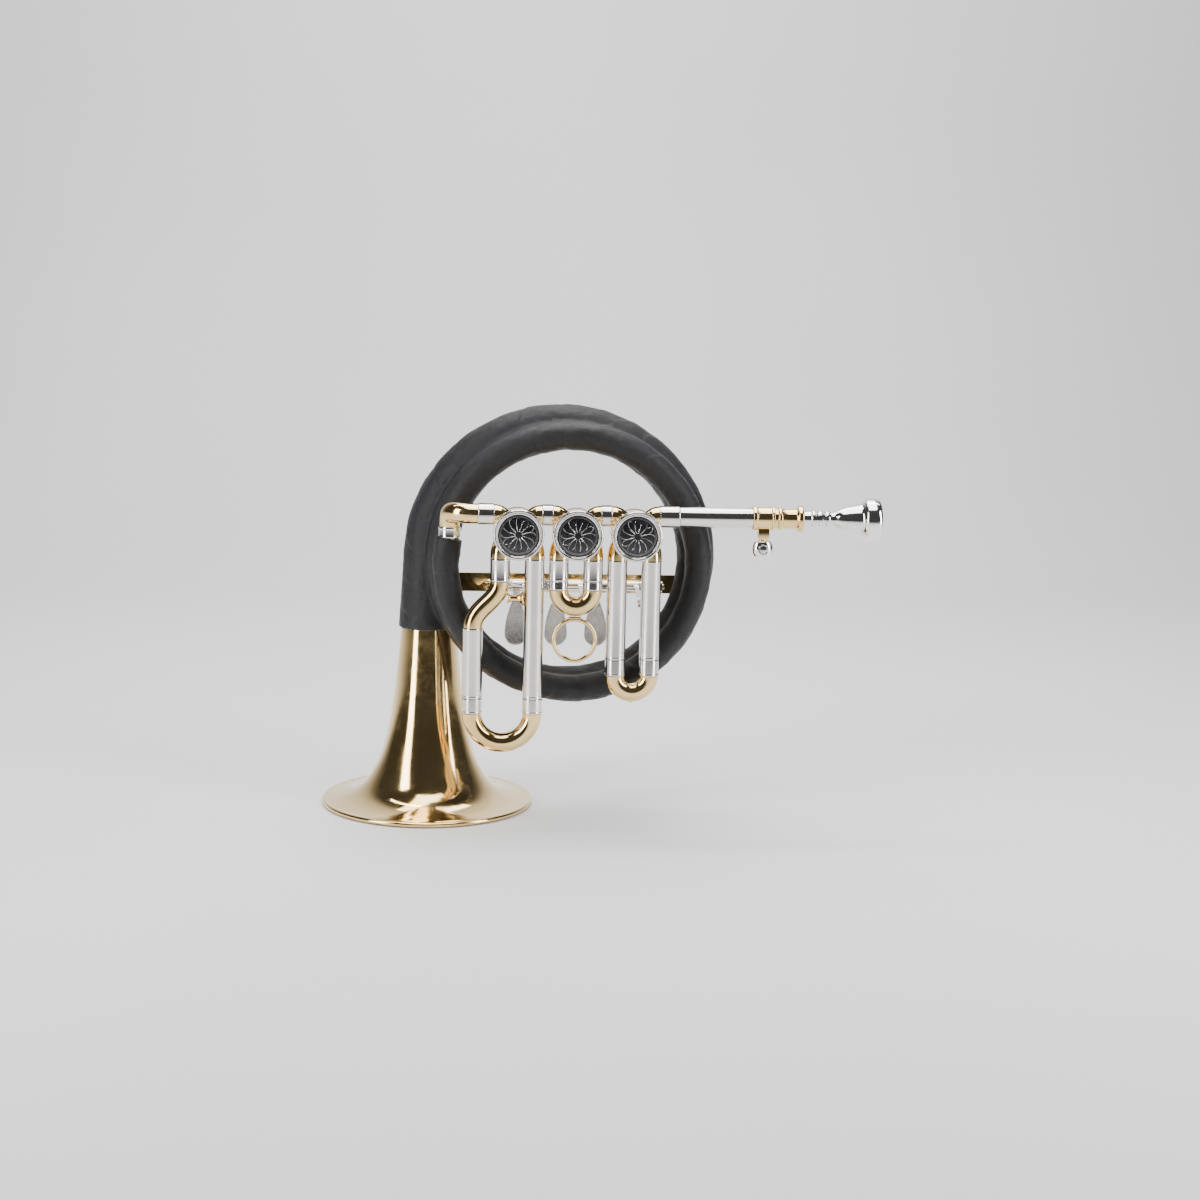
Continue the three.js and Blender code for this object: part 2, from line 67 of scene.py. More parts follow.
# ---- Shader helpers ----
class Nodes:
    """Short calls for building one material's node tree."""

    def __init__(self, name, color, metallic, roughness):
        self.material = bpy.data.materials.new(name)
        self.material.use_nodes = True
        self.tree = self.material.node_tree
        self.shader = self.tree.nodes["Principled BSDF"]
        self.set(self.shader, "Base Color", (*color, 1))
        self.set(self.shader, "Metallic", metallic)
        self.set(self.shader, "Roughness", roughness)
        self.where = self.add("ShaderNodeTexCoord").outputs["Object"]

    def add(self, kind, **inputs):
        node = self.tree.nodes.new(kind)
        for key, value in inputs.items():
            self.set(node, key.replace("_", " "), value)
        return node

    def set(self, node, socket, value):
        target = node.inputs[socket]
        if isinstance(value, bpy.types.NodeSocket):
            self.tree.links.new(value, target)
        else:
            target.default_value = value

    def stretched(self, scale):
        mapping = self.add("ShaderNodeMapping", Vector=self.where)
        mapping.inputs["Scale"].default_value = scale
        return mapping.outputs["Vector"]

    def noise(self, scale, detail=3.0, rough=0.5, vector=None, distortion=0.0):
        node = self.add("ShaderNodeTexNoise", Vector=vector or self.where, Scale=scale, Detail=detail)
        node.inputs["Roughness"].default_value = rough
        node.inputs["Distortion"].default_value = distortion
        return node.outputs["Fac"]

    def ramp(self, value, stops):
        node = self.add("ShaderNodeValToRGB", Fac=value)
        elements = node.color_ramp.elements
        while len(elements) < len(stops):
            elements.new(0.5)
        for element, (position, color) in zip(elements, stops):
            element.position = position
            element.color = (*color, 1) if len(color) == 3 else color
        return node.outputs["Color"]

    def remap(self, value, low, high, to_low, to_high):
        node = self.add("ShaderNodeMapRange", Value=value)
        for key, number in zip(("From Min", "From Max", "To Min", "To Max"), (low, high, to_low, to_high)):
            node.inputs[key].default_value = number
        return node.outputs["Result"]

    def mix(self, factor, a, b, mode="MIX"):
        node = self.tree.nodes.new("ShaderNodeMix")
        node.data_type = "RGBA"
        node.blend_type = mode
        for index, value in ((0, factor), (6, a), (7, b)):
            if isinstance(value, bpy.types.NodeSocket):
                self.tree.links.new(value, node.inputs[index])
            else:
                node.inputs[index].default_value = value
        return node.outputs[2]

    def math(self, operation, a, b=0.0):
        node = self.tree.nodes.new("ShaderNodeMath")
        node.operation = operation
        for index, value in ((0, a), (1, b)):
            if isinstance(value, bpy.types.NodeSocket):
                self.tree.links.new(value, node.inputs[index])
            else:
                node.inputs[index].default_value = value
        return node.outputs[0]

    def bump(self, height, distance, strength=1.0, normal=None):
        node = self.add("ShaderNodeBump", Height=height, Distance=distance, Strength=strength)
        if normal is not None:
            self.set(node, "Normal", normal)
        return node.outputs["Normal"]


def polished(name, color, deep, roughness, coat=0.0, streak=(1, 1, 1)):
    """Buffed metal: faint colour drift, buffing lines, smudges and fine wavering of the surface."""
    n = Nodes(name, color, 1.0, roughness)
    drift = n.noise(28, 4)
    tint = n.ramp(drift, [(0.30, deep), (0.62, color)])
    smudge = n.noise(75, 5, 0.62, distortion=0.4)
    buffed = n.noise(420, 2, vector=n.stretched(streak))
    lines = n.remap(buffed, 0.3, 0.7, -0.012, 0.02)
    marks = n.remap(smudge, 0.45, 0.75, roughness, roughness + 0.09)
    n.set(n.shader, "Base Color", tint)
    n.set(n.shader, "Roughness", n.math("ADD", marks, lines))
    wave = n.noise(30, 2)
    n.set(n.shader, "Normal", n.bump(wave, 0.0004, 0.18))
    if coat:
        n.shader.inputs["Coat Weight"].default_value = coat
        n.shader.inputs["Coat Roughness"].default_value = 0.06
    return n.material


def leather_material():
    """Thin black calf leather: pebbled grain, dry suede-like patches, and a polish where it stands proud,
    with a painted highlight that lightens its colour along those crests.
    """
    n = Nodes("wound_leather", (0.02, 0.02, 0.024), 0.0, 0.5)
    pebble = n.add("ShaderNodeTexVoronoi", Vector=n.where, Scale=1150.0)
    pebble.feature = "DISTANCE_TO_EDGE"
    grain = n.remap(pebble.outputs["Distance"], 0.0, 0.12, 0.0, 1.0)
    pores = n.noise(2600, 4, 0.6)
    creases = n.noise(230, 6, 0.7, distortion=1.4)
    patches = n.noise(26, 4, 0.6)
    # Pointiness picks out the convex crests: they get a painted highlight in the colour and a lower roughness
    # for polish.
    convexity = n.add("ShaderNodeNewGeometry").outputs["Pointiness"]
    crest = n.remap(convexity, 0.495, 0.53, 0.0, 1.0)
    base = n.ramp(patches, [(0.34, (0.0035, 0.0035, 0.0045)), (0.55, (0.007, 0.0068, 0.0086)),
                            (0.72, (0.013, 0.0125, 0.015))])
    base = n.mix(n.remap(pores, 0.35, 0.7, 0.0, 0.45), base, (0.002, 0.002, 0.003, 1))
    # Painted highlight: the base colour is lightened along the convex crests, where light catches the wrap.
    base = n.mix(n.remap(crest, 0.0, 1.0, 0.0, 0.35), base, (0.022, 0.021, 0.023, 1))
    n.set(n.shader, "Base Color", base)
    rough = n.remap(patches, 0.3, 0.7, 0.34, 0.56)
    rough = n.math("ADD", rough, n.remap(creases, 0.3, 0.7, -0.05, 0.10))
    n.set(n.shader, "Roughness", n.math("SUBTRACT", rough, n.math("MULTIPLY", crest, 0.06)))
    n.shader.inputs["Specular IOR Level"].default_value = 0.36
    n.shader.inputs["Sheen Weight"].default_value = 0.02
    n.shader.inputs["Sheen Roughness"].default_value = 0.45
    fine = n.bump(grain, 0.00012, 0.55)
    fine = n.bump(pores, 0.00008, 0.5, fine)
    fine = n.bump(creases, 0.0006, 0.42, fine)
    n.set(n.shader, "Normal", fine)
    return n.material


def inlay_material():
    """Black enamel, faintly worn, under a clear gloss."""
    n = Nodes("cap_inlay", (0.012, 0.012, 0.014), 0.35, 0.16)
    wear = n.noise(160, 5, 0.6)
    n.set(n.shader, "Base Color", n.ramp(wear, [(0.35, (0.007, 0.007, 0.009)), (0.7, (0.024, 0.024, 0.027))]))
    n.set(n.shader, "Roughness", n.remap(wear, 0.3, 0.75, 0.10, 0.24))
    n.set(n.shader, "Normal", n.bump(n.noise(900, 3), 0.00005, 0.25))
    n.shader.inputs["Coat Weight"].default_value = 0.6
    n.shader.inputs["Coat Roughness"].default_value = 0.05
    return n.material


def key_material():
    """Nickel keys with a knurled, sparkling face."""
    n = Nodes("key_nickel", (0.62, 0.60, 0.58), 1.0, 0.24)
    cells = n.add("ShaderNodeTexVoronoi", Vector=n.where, Scale=1300.0)
    spark = cells.outputs["Distance"]
    tint = n.ramp(n.noise(60, 4), [(0.3, (0.50, 0.48, 0.46)), (0.7, (0.70, 0.68, 0.66))])
    n.set(n.shader, "Base Color", tint)
    n.set(n.shader, "Roughness", n.remap(spark, 0.0, 0.8, 0.16, 0.38))
    n.set(n.shader, "Normal", n.bump(spark, 0.0002, 0.6))
    return n.material


BRASS = polished("gold_brass", (0.90, 0.66, 0.30), (0.80, 0.54, 0.21), 0.085, 0.55)
NICKEL = polished("drawn_nickel", (0.80, 0.765, 0.735), (0.70, 0.665, 0.635), 0.105)
SILVER = polished("plated_silver", (0.90, 0.885, 0.865), (0.80, 0.785, 0.77), 0.055)
STEEL = polished("ground_steel", (0.50, 0.50, 0.51), (0.40, 0.40, 0.41), 0.26, streak=(6, 1, 1))
LEATHER = leather_material()
INLAY = inlay_material()
KEY = key_material()
SLOTS = {
    BRASS: "lacquered_brass",
    NICKEL: "nickel_silver",
    SILVER: "silver_plate",
    STEEL: "steel",
    LEATHER: "black_leather",
    INLAY: "valve_cap",
    KEY: "nickel_silver",
}
LOOKS = {slot: material for material, slot in reversed(SLOTS.items())}
SLOT_OF = {entry["node"]: entry["material_slot"] for entry in frame["record"]["subparts"]}
for node_name, node in frame["nodes"].items():
    for place in node.material_slots:
        place.material = LOOKS[SLOT_OF[node_name]]


# ---- Mesh helpers ----
def piece(name, verts, faces, material, body, stands_for=(), sharp=32):
    """A mesh from millimetres, shaded smooth except at sharp edges, riding on a body."""
    mesh = bpy.data.meshes.new(name)
    mesh.from_pydata([Vector(v) * MM for v in verts], [], faces)
    b = bmesh.new()
    b.from_mesh(mesh)
    bmesh.ops.remove_doubles(b, verts=b.verts, dist=1e-7)
    bmesh.ops.dissolve_degenerate(b, edges=b.edges, dist=1e-8)
    bmesh.ops.recalc_face_normals(b, faces=b.faces)
    b.to_mesh(mesh)
    b.free()
    mesh.polygons.foreach_set("use_smooth", [True] * len(mesh.polygons))
    mesh.set_sharp_from_angle(angle=math.radians(sharp))
    mesh.materials.append(material)
    made = bpy.data.objects.new(name, mesh)
    bpy.context.scene.collection.objects.link(made)
    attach(made, body)
    if stands_for:
        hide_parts(*stands_for)
    return made


def axes_of(axis):
    """Two directions across an axis name, so that (u, v, axis) is right-handed."""
    return {
        "x": (Vector((0, 1, 0)), Vector((0, 0, 1)), Vector((1, 0, 0))),
        "y": (Vector((0, 0, 1)), Vector((1, 0, 0)), Vector((0, 1, 0))),
        "z": (Vector((1, 0, 0)), Vector((0, 1, 0)), Vector((0, 0, 1))),
    }[axis]


def rounded(outline, radius, closed):
    """The outline with each corner eased over, at most radius along each side."""
    points = [Vector(p) for p in outline]
    count = len(points)
    eased = []
    for i, here in enumerate(points):
        ends = not closed and i in (0, count - 1)
        before, after = points[i - 1] - here, points[(i + 1) % count] - here
        if ends or before.length < 1e-6 or after.length < 1e-6 or abs(before.angle(after) - math.pi) < 0.12:
            eased.append(here)
            continue
        reach = min(radius, before.length * 0.42, after.length * 0.42)
        a, c = here + before.normalized() * reach, here + after.normalized() * reach
        eased += [a, a.lerp(here, 0.62).lerp(c.lerp(here, 0.62), 0.5), c]
    return eased


def spun(outline, axis="z", centre=(0, 0, 0), sides=72, ease=0.35):
    """Vertices and faces of a turned solid, from (radius, distance) points in a loop or axis to axis."""
    on_axis = outline[0][0] == 0 and outline[-1][0] == 0
    points = rounded(outline, ease, not on_axis)
    u, v, w = axes_of(axis)
    middle = Vector(centre)
    verts, faces = [], []
    for r, t in points:
        for i in range(sides):
            a = 2 * math.pi * i / sides
            verts.append(middle + u * (r * math.cos(a)) + v * (r * math.sin(a)) + w * t)
    rows = len(points)
    last = rows - 1 if on_axis else rows
    for k in range(last):
        for i in range(sides):
            j = (i + 1) % sides
            m = (k + 1) % rows
            faces.append((k * sides + i, k * sides + j, m * sides + j, m * sides + i))
    return verts, faces


def swept(points, radius, bore=None, sides=40, up=None):
    """Vertices and faces of a rod along points, with one radius or one per point. A bore makes it a tube."""
    points = [Vector(p) for p in points]
    count = len(points)
    radii = [radius] * count if isinstance(radius, (int, float)) else radius
    tangents = [(points[min(i + 1, count - 1)] - points[max(i - 1, 0)]).normalized() for i in range(count)]
    side = Vector(up) if up else tangents[0].orthogonal()
    verts, faces, frames = [], [], []
    for tangent in tangents:
        side = (side - tangent * side.dot(tangent)).normalized()
        frames.append((side.copy(), tangent.cross(side)))

    def ring(k, r):
        a_dir, b_dir = frames[k]
        for i in range(sides):
            a = 2 * math.pi * i / sides
            verts.append(points[k] + a_dir * (r * math.cos(a)) + b_dir * (r * math.sin(a)))

    order = [(k, radii[k]) for k in range(count)]
    if bore is not None:
        order += [(k, bore) for k in reversed(range(count))]
    for k, r in order:
        ring(k, r)
    rows = len(order)
    for k in range(rows if bore is not None else rows - 1):
        m = (k + 1) % rows
        for i in range(sides):
            j = (i + 1) % sides
            faces.append((k * sides + i, k * sides + j, m * sides + j, m * sides + i))
    if bore is None:
        faces.append(tuple(reversed(range(sides))))
        faces.append(tuple((rows - 1) * sides + i for i in range(sides)))
    return verts, faces


def joined(*parts):
    """Several (vertices, faces) pairs as one."""
    verts, faces = [], []
    for v, f in parts:
        start = len(verts)
        verts += v
        faces += [tuple(i + start for i in face) for face in f]
    return verts, faces


def bezier(a, b, c, d, steps):
    """Points along a cubic curve."""
    a, b, c, d = map(Vector, (a, b, c, d))
    out = []
    for i in range(steps + 1):
        t = i / steps
        out.append(a * (1 - t) ** 3 + b * (3 * t * (1 - t) ** 2) + c * (3 * t * t * (1 - t)) + d * t ** 3)
    return out


def collar(r_out, r_in, start, end, axis, centre, ease=0.3, sides=64):
    """A plain ring about an axis."""
    return spun([(r_in, start), (r_out, start), (r_out, end), (r_in, end)], axis, centre, sides, ease)


def block(x0, x1, y0, y1, z0, z1, ease=0.4):
    """A box with chamfered edges."""
    b = bmesh.new()
    bmesh.ops.create_cube(b, size=1)
    size = Vector((x1 - x0, y1 - y0, z1 - z0))
    middle = Vector((x0 + x1, y0 + y1, z0 + z1)) / 2
    for v in b.verts:
        v.co = Vector((v.co.x * size.x, v.co.y * size.y, v.co.z * size.z)) + middle
    bmesh.ops.bevel(b, geom=b.edges[:], offset=ease, segments=2, affect="EDGES", profile=0.7)
    verts = [v.co.copy() for v in b.verts]
    faces = [tuple(v.index for v in f.verts) for f in b.faces]
    b.free()
    return verts, faces


# ---- Coil ----
# The tube runs from s = ENTRY_S, at the valves, through two turns to s = 1, then down the bell's throat.
COIL_RIGHT_X, COIL_LOW_Z, ENTRY_S = 166.5, 81.0, -0.018
THROAT_START, THROAT_END = 0.985, 1.1
THROAT_TOP, THROAT_R = 161.7, 17.2


def coil_point(s):
    """The centre of the tube, on ellipses that grow a little as the tube widens."""
    rx = 78 + 5.25 * s * s
    rz = 76.3 + 4.4 * s
    turn = math.pi * (1 + 4 * s)
    y = -37.0 if s < 0 else -37 + 24 * s + 13 * s * s
    return Vector((COIL_RIGHT_X - rx + rx * math.cos(turn), y, COIL_LOW_Z + rz + rz * math.sin(turn)))


def coil_radius(s):
    """The tube's radius, which grows fastest towards the bell."""
    return 6.2 + 1.2 * s + 6.9 * max(s, 0) ** 3.4


def coil_run(first, last, steps):
    """Points and radii from s = first to s = last, running straight down the throat beyond s = 1."""
    points, radii = [], []
    for i in range(steps + 1):
        s = first + (last - first) * i / steps
        if s <= THROAT_START:
            points.append(coil_point(s))
            radii.append(coil_radius(s))
            continue
        share = (s - THROAT_START) / (THROAT_END - THROAT_START)
        z = THROAT_TOP + (LEATHER_END - THROAT_TOP) * share
        points.append(Vector((0, 0, z)))
        radii.append(coil_radius(1) + (THROAT_R - coil_radius(1)) * share)
    return points, radii


ENTRY = coil_point(ENTRY_S)


def make_bell():
    """A spun shell with a rolled bead round its rim."""
    outside = [(62, 2.9), (54, 4.4), (46, 7.6), (40, 12.5), (35, 20), (30.3, 30), (26, 45), (22.4, 65),
               (19.4, 91), (17.6, 112), (17.1, 119)]
    curve = smooth_profile(outside, 44)
    bead = []
    for i in range(13):
        a = -math.pi / 2 + math.pi * 1.12 * i / 12
        bead.append((65.5 + 1.45 * math.cos(a), 1.45 + 1.45 * math.sin(a)))
    inner = [(r - 0.8, z - (1.0 if z < 10 else 0.35)) for r, z in reversed(curve)]
    inner[0] = (inner[0][0], curve[-1][1])
    outline = [(64.0, 0.9), (64.4, 0.05)] + bead + curve + inner
    piece("bell_spun", *spun(outline, "z", (0, 0, 0), 144, 0.0), BRASS, "horn", ["bell"], sharp=50)


def smooth_profile(points, count):
    """A Catmull-Rom curve through the profile's points."""
    dense = []
    spans = len(points) - 1
    for i in range(count + 1):
        t = spans * i / count
        k = min(int(t), spans - 1)
        u = t - k
        p = [Vector(points[min(max(k + d, 0), spans)]) for d in (-1, 0, 1, 2)]
        q = 0.5 * ((2 * p[1]) + (p[2] - p[0]) * u + (2 * p[0] - 5 * p[1] + 4 * p[2] - p[3]) * u * u
                   + (3 * p[1] - p[0] - 3 * p[2] + p[3]) * u ** 3)
        dense.append((q.x, q.y))
    return dense


def make_leather():
    """The wrap: both turns swept, melted into one skin by remeshing, then wound and creased."""
    thickness = 2.0
    parts = []
    thirds = [ENTRY_S, 0.34, 0.7, THROAT_END]
    for a, b in zip(thirds, thirds[1:]):
        points, radii = coil_run(a, b + (0.01 if b < THROAT_END else 0), 90)
        parts.append(swept(points, [r + thickness for r in radii], None, 30, (0, 1, 0)))
    # Filling laid in the groove between the turns makes the bundle one band.
    filler, widths = [], []
    for i in range(121):
        s = 0.03 + 0.47 * i / 120
        a, b = coil_point(s), coil_point(s + 0.5)
        ra, rb = coil_radius(s), coil_radius(s + 0.5)
        filler.append(a.lerp(b, (ra + 0.5) / (ra + rb + 1)))
        widths.append(min(ra, rb) * 0.86 + 1.2)
    parts.append(swept(filler, widths, None, 24, (0, 1, 0)))
    made = piece("leather_winding", *joined(*parts), LEATHER, "horn", ["leather_wrap"], sharp=180)
    remesh = made.modifiers.new("skin", "REMESH")
    remesh.mode = "VOXEL"
    remesh.voxel_size = 0.85 * MM
    relax = made.modifiers.new("relax", "SMOOTH")
    relax.factor = 0.5
    relax.iterations = 14
    apply_modifiers(made)
    wind(made.data)
    made.data.polygons.foreach_set("use_smooth", [True] * len(made.data.polygons))
    return made


def apply_modifiers(made):
    """Puts the modified mesh in place of the piece's own."""
    graph = bpy.context.evaluated_depsgraph_get()
    mesh = bpy.data.meshes.new_from_object(made.evaluated_get(graph))
    made.modifiers.clear()
    made.data = mesh


def wind(mesh):
    """Moves the skin's points into overlapping turns of a strip, with creases and soft dents."""
    centre = Vector((86, 0, 160))
    strips = 26  # turns of the strip in one turn of the coil
    places = [vertex.co.copy() for vertex in mesh.vertices]
    normals = [vertex.normal.copy() for vertex in mesh.vertices]
    moved = []
    for place, normal in zip(places, normals):
        p = place / MM
        flat = Vector((p.x - centre.x, p.z - centre.z))
        angle = math.atan2(flat.y, flat.x)
        in_throat = p.x < 26 and p.z < 158
        along = (158 - p.z) / 80 if in_throat else 0
        lean = 0.0016 * (p.y + 15)
        turn = (math.pi + along if in_throat else angle) / (2 * math.pi) * strips + lean * strips
        wobble = 0.35 * noise.noise(p * 0.03) + 0.12 * noise.noise(p * 0.11)
        phase = (turn + wobble) % 1.0
        step = 0.62 * (phase if phase < 0.93 else (1 - phase) / 0.07 * 0.93)
        strength = 0.45 + 0.55 * noise.noise(p * 0.021 + Vector((3, 1, 7)))
        crease = noise.fractal(Vector((p.x * 0.10, p.y * 0.16, p.z * 0.10)), 0.9, 2.0, 4)
        dent = noise.noise(p * 0.045 + Vector((9, 2, 4)))
        lift = step * max(strength, 0.15) + 0.30 * crease + 0.38 * dent - 0.15
        moved.extend(place + normal * (lift * MM))
    mesh.vertices.foreach_set("co", moved)
    mesh.update()


def make_coil_tube():
    """The brass tube inside the wrap, which shows only at its ends."""
    points, radii = coil_run(ENTRY_S, THROAT_START, 160)
    throat, more = coil_run(THROAT_START, THROAT_END, 10)
    path = points + throat[1:]
    inner = swept(path, [r - 0.35 for r in radii + more[1:]], None, 20, (0, 1, 0))
    piece("coil_inner_tube", *inner, BRASS, "horn", ["coil_tube"])


# ---- Main line ----
def make_main_line():
    """The ferrule on the coil, the elbow and the ferrules between the valves."""
    low = ENTRY.z + 0.3
    outline = [(5.7, low), (6.9, low), (7.05, low + 0.8), (6.85, low + 1.4), (6.85, low + 5.0),
               (7.05, low + 5.6), (6.9, low + 6.4), (5.7, low + 6.4)]
    ferrule = spun(outline, "z", (ENTRY.x, ENTRY.y, 0), 64, 0.25)
    piece("coil_ferrule_turned", *ferrule, SILVER, "horn", ["coil_ferrule"])
    left = VALVE_X[0] - 24
    elbow = bezier((left - 0.1, MAIN_Y, MAIN_Z), (ENTRY.x - 1, MAIN_Y, MAIN_Z),
                   (ENTRY.x, ENTRY.y, MAIN_Z + 4), (ENTRY.x, ENTRY.y, low + 6.0), 40)
    piece("elbow_bent", *swept(elbow, TUBE_R, 5.6, 48), BRASS, "horn", ["elbow_tube"])
    spans = {
        "main_ferrule_left": (left, VALVE_X[0] - STUB),
        "main_ferrule_1_2": (VALVE_X[0] + STUB, VALVE_X[1] - STUB),
        "main_ferrule_2_3": (VALVE_X[1] + STUB, VALVE_X[2] - STUB),
        "leadpipe_ferrule": (VALVE_X[2] + STUB, VALVE_X[2] + STUB + FERRULE),
    }
    for name, (a, b) in spans.items():
        outline = [(5.7, a), (6.55, a), (6.68, a + 0.5), (6.68, b - 0.5), (6.55, b), (5.7, b)]
        body = spun(outline, "x", LINE, 64, 0.2)
        lines = [collar(6.76, 6.4, t - 0.16, t + 0.16, "x", LINE, 0.1) for t in (a + 0.9, b - 0.9)]
        piece(f"{name}_turned", *joined(body, *lines), NICKEL, "horn", [name])


def make_valve(n):
    """One valve's casing with its four knuckles, its cap and its bearing plate."""
    x = VALVE_X[n]
    at = Vector((x, 0, VALVE_Z))
    front, back = MAIN_Y - CASING_HALF, CASING_BACK
    outline = [(12.6, front), (14, front), (14.25, front + 0.5), (14.25, front + 2.2), (13.85, front + 2.8),
               (13.85, back - 3), (14.2, back - 2.4), (14.2, back - 0.4), (13.9, back), (12.6, back)]
    parts = [spun(outline, "y", at, 88, 0.25)]
    for side in (-1, 1):
        def p(dx, dz):
            return (x + side * dx, MAIN_Y, VALVE_Z + dz)

        rise = bezier(p(6.5, 5.5), p(10, 9.5), p(11.2, 10.5), p(14.5, 10.5), 18)
        fall = bezier(p(7.0, -5), p(9.6, -9), p(LEG, -11), p(LEG, -16), 16)
        parts += [swept(rise, TUBE_R, None, 44), swept(fall, TUBE_R, None, 44)]
    piece(f"casing_{n + 1}_brazed", *joined(*parts), BRASS, "horn", [f"valve_casing_{n + 1}"])

    cap_back = front - GAP
    face = cap_back - 4.4
    rim = spun([(12.2, face + 1.2), (12.9, face + 1.0), (13.5, face + 0.1), (14.3, face), (14.9, face + 0.25),
                (15.3, face + 1.0), (15.1, face + 1.5), (15.3, face + 2.0), (15.3, cap_back - 0.5),
                (15.0, cap_back), (12.0, cap_back), (12.0, face + 2.5)], "y", at, 120, 0.12)
    cap = [f"valve_cap_{n + 1}"]
    piece(f"cap_{n + 1}_rim", *rim, NICKEL, "horn", cap)
    piece(f"cap_{n + 1}_inlay", *cap_inlay(at, face + 1.05), INLAY, "horn", cap)
    piece(f"cap_{n + 1}_engraving", *cap_engraving(at, face + 0.78), SILVER, "horn", cap, sharp=60)

    plate = back + GAP
    outline = [(3.3, plate), (13.4, plate), (13.4, plate + 2.2), (12.6, plate + 3), (6.6, plate + 3),
               (6.2, plate + 2.4), (4.6, plate + 2.4), (4.2, plate + 3), (3.3, plate + 3)]
    disc = spun(outline, "y", at, 88, 0.3)
    screws = []
    for k in range(3):
        a = math.radians(90 + 120 * k)
        spot = at + Vector((9.8 * math.cos(a), 0, 9.8 * math.sin(a)))
        low, high = plate + 2.8, plate + 3.6
        head = [(0, low), (1.5, low), (1.5, plate + 3.3), (1.1, high), (0, high)]
        screws.append(spun(head, "y", spot, 24, 0.15))
    piece(f"bearing_{n + 1}_plate", *joined(disc, *screws), BRASS, "horn", [f"bearing_plate_{n + 1}"])


def cap_inlay(at, depth):
    """A very slightly domed disc."""
    outline = [(0, depth - 0.28), (6, depth - 0.22), (10.5, depth - 0.05), (12.8, depth + 0.15),
               (12.8, depth + 1.4), (0, depth + 1.4)]
    return spun(outline, "y", at, 96, 0.0)


def cap_engraving(at, depth):
    """A plain engraved rosette of fine lines: two rings round twelve arcs."""
    petals, half_line = 12, 0.09
    parts = []
    for r in (11.4, 10.8):
        outline = [(r - half_line, depth), (r + half_line, depth), (r + half_line, depth + 0.5),
                   (r - half_line, depth + 0.5)]
        parts.append(spun(outline, "y", at, 96, 0.0))
    for k in range(petals):
        turn = 2 * math.pi * k / petals
        petal = []
        for i in range(25):
            t = i / 24
            r = 2.0 + 8.2 * math.sin(math.pi * t)
            a = turn + 0.30 * math.cos(math.pi * t)
            lift = depth - 0.17 * (1 - (r / 12) ** 2)
            petal.append(at + Vector((r * math.cos(a), lift, r * math.sin(a))))
        parts.append(swept(petal, 0.085, None, 6))
    return joined(*parts)


make_bell()
make_leather()
make_coil_tube()
make_main_line()
for index in range(3):
    make_valve(index)


# ---- Slides ----
# Heights of the sleeves' tops, the sleeves' mouths, the crooks and the legs' hidden ends, and each side's x.
SLIDES = (
    {"top": 121.0, "sleeve": 78.0, "crook": 68.4, "leg": 113.0,
     "left": 27.4, "right": VALVE_X[0] + LEG},
    {"top": 170.0, "sleeve": 150.8, "crook": 145.2, "leg": 162.4,
     "left": VALVE_X[1] - LEG, "right": VALVE_X[1] + LEG},
    {"top": 170.0, "sleeve": 103.0, "crook": 92.6, "leg": 141.0,
     "left": VALVE_X[2] - LEG, "right": VALVE_X[2] + LEG},
)
KNUCKLE_END = VALVE_Z - 16


def sleeve(x, low, high):
    """A drawn sleeve with a fine bead line above its mouth and a lip at each end."""
    outline = [(5.7, low), (6.0, low), (6.22, low + 0.3), (6.22, low + 1.1), (6.1, low + 1.4),
               (6.1, high - 1.2), (6.3, high - 0.9), (6.3, high), (5.7, high)]
    return spun(outline, "z", (x, MAIN_Y, 0), 56, 0.15)


def make_slide(n):
    """Two fixed sleeves, and the two legs and crook that slide in them."""
    part = SLIDES[n]
    top = KNUCKLE_END - GAP
    tops = {"left": min(part["top"], top), "right": top}
    for side in ("left", "right"):
        x = part[side]
        piece(f"slide_{n + 1}_{side}_drawn", *sleeve(x, part["sleeve"], tops[side]), NICKEL, "horn",
              [f"slide_{n + 1}_sleeve_{side}"])
        low, high = part["crook"] + GAP, part["sleeve"] - GAP
        outline = [(LEG_BORE, low), (6.15, low), (6.3, low + 0.3), (6.3, low + 0.9), (6.1, low + 1.2),
                   (6.1, high - 0.3), (5.9, high), (5.4, high), (5.4, part["leg"]), (LEG_BORE, part["leg"])]
        leg = spun(outline, "z", (x, MAIN_Y, 0), 56, 0.12)
        piece(f"slide_{n + 1}_{side}_inner", *leg, NICKEL, f"slide_{n + 1}", [f"slide_{n + 1}_leg_{side}"])
    left, right = part["left"], part["right"]
    half = (right - left) / 2
    bow = [((left + right) / 2 - half * math.cos(math.pi * i / 48), MAIN_Y,
            part["crook"] - half * math.sin(math.pi * i / 48)) for i in range(49)]
    parts = [swept(bow, LEG_R, LEG_BORE, 48, (0, 1, 0))]
    if n == 2:
        # The third crook has a small nub under it.
        low = part["crook"] - half - LEG_R
        nub = [(0, low - 0.7), (0.9, low - 0.6), (1.5, low - 0.1), (1.3, low + 0.4), (2.2, low + 1.3),
               (0, low + 1.3)]
        parts.append(spun(nub, "z", ((left + right) / 2, MAIN_Y, 0), 32, 0.2))
    piece(f"slide_{n + 1}_bow", *joined(*parts), BRASS, f"slide_{n + 1}", [f"slide_{n + 1}_crook"])


